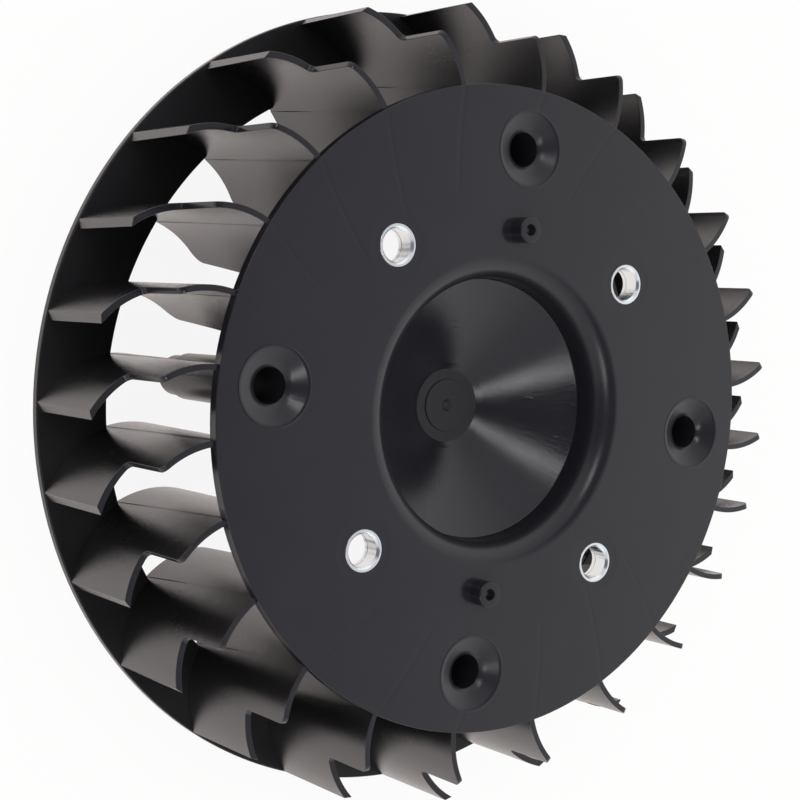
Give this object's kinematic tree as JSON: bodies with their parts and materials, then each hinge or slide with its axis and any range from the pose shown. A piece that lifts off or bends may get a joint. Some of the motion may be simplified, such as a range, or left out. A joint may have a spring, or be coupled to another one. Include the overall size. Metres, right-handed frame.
{
  "type": "blower wheel",
  "caption": "Moulded blower wheel with a flat disc, recessed conical hub, stepped curved blades tied by an open rear ring, and steel bolt sleeves.",
  "frame": {"origin": "on the wheel's axis, in the plane of the back of the ring", "axes": "+Z along the axis from the ring to the disc face, +X through one deep tube, Y through the two posts"},
  "size_m": [0.256, 0.256, 0.0658],
  "materials": {
    "moulded_plastic": "black moulded plastic, satin on the disc and dull on the blades",
    "plated_steel": "bright zinc plate"
  },
  "bodies": {
    "root": {"moulded_wheel": "moulded_plastic", "sleeve_1": "plated_steel", "sleeve_2": "plated_steel", "sleeve_3": "plated_steel", "sleeve_4": "plated_steel"}
  },
  "joints": []
}
